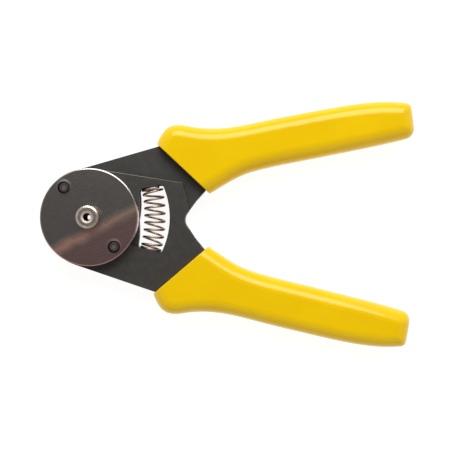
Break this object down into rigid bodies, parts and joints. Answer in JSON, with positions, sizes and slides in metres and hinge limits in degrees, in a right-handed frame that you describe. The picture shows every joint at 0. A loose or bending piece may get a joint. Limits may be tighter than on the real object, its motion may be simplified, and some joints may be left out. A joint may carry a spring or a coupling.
{
  "type": "four-indent hand crimping tool",
  "caption": "Hand crimping tool with a round head: closing the sprung handles drives four indenters inwards on a contact barrel held in the centre bushing.",
  "frame": {"origin": "on the pivot axis, which is also the contact bore's axis, at the rear face of the rear disc that the tool rests on", "axes": "+X down the middle between the handles, +Y towards the upper handle, +Z along the pivot axis out of the front bushing"},
  "size_m": [0.1648, 0.1096, 0.0218],
  "materials": {
    "black_oxide_steel": "matte",
    "ground_steel": "satin",
    "turned_steel": "satin",
    "dark_rivet_steel": "satin",
    "plain_steel": "satin",
    "spring_steel": "satin",
    "yellow_vinyl": "gloss"
  },
  "bodies": {
    "lower_handle": {"front_plate": "black_oxide_steel", "rear_plate": "black_oxide_steel", "lower_spacer": "plain_steel", "lower_tang_rivets": "plain_steel", "front_disc": "ground_steel", "rear_disc": "ground_steel", "contact_bushing": "turned_steel", "entry_bushing": "turned_steel", "indenter_guide": "plain_steel", "guide_cover": "plain_steel", "upper_head_rivet": "dark_rivet_steel", "lower_head_rivet": "dark_rivet_steel", "indenter_return_ring": "spring_steel", "return_spring": "spring_steel", "lower_grip": "yellow_vinyl"},
    "upper_handle": {"cam_plate": "black_oxide_steel", "upper_front_filler": "plain_steel", "upper_rear_filler": "plain_steel", "upper_tang_rivets": "plain_steel", "upper_grip": "yellow_vinyl"},
    "indenter_1": {"indenter_1": "plain_steel"},
    "indenter_2": {"indenter_2": "plain_steel"},
    "indenter_3": {"indenter_3": "plain_steel"},
    "indenter_4": {"indenter_4": "plain_steel"}
  },
  "joints": [
    {"name": "handle_pivot", "type": "hinge", "parent": "lower_handle", "child": "upper_handle", "pos_m": [0, 0, 0.0076], "axis": [0, 0, -1], "range_deg": [0, 24], "stiffness_Nm_per_rad": 1.5, "springref_deg": -10.31, "deforming": ["return_spring", "indenter_return_ring"]},
    {"name": "indenter_1_slide", "type": "slide", "parent": "lower_handle", "child": "indenter_1", "axis": [-0.7071, -0.7071, 0], "range_m": [0, 0.0011]},
    {"name": "indenter_2_slide", "type": "slide", "parent": "lower_handle", "child": "indenter_2", "axis": [0.7071, -0.7071, 0], "range_m": [0, 0.0011]},
    {"name": "indenter_3_slide", "type": "slide", "parent": "lower_handle", "child": "indenter_3", "axis": [0.7071, 0.7071, 0], "range_m": [0, 0.0011]},
    {"name": "indenter_4_slide", "type": "slide", "parent": "lower_handle", "child": "indenter_4", "axis": [-0.7071, 0.7071, 0], "range_m": [0, 0.0011]}
  ],
  "couplings": [
    {"joint": "indenter_1_slide", "follows": "handle_pivot", "m_per_rad": 0.002626},
    {"joint": "indenter_2_slide", "follows": "handle_pivot", "m_per_rad": 0.002626},
    {"joint": "indenter_3_slide", "follows": "handle_pivot", "m_per_rad": 0.002626},
    {"joint": "indenter_4_slide", "follows": "handle_pivot", "m_per_rad": 0.002626}
  ]
}
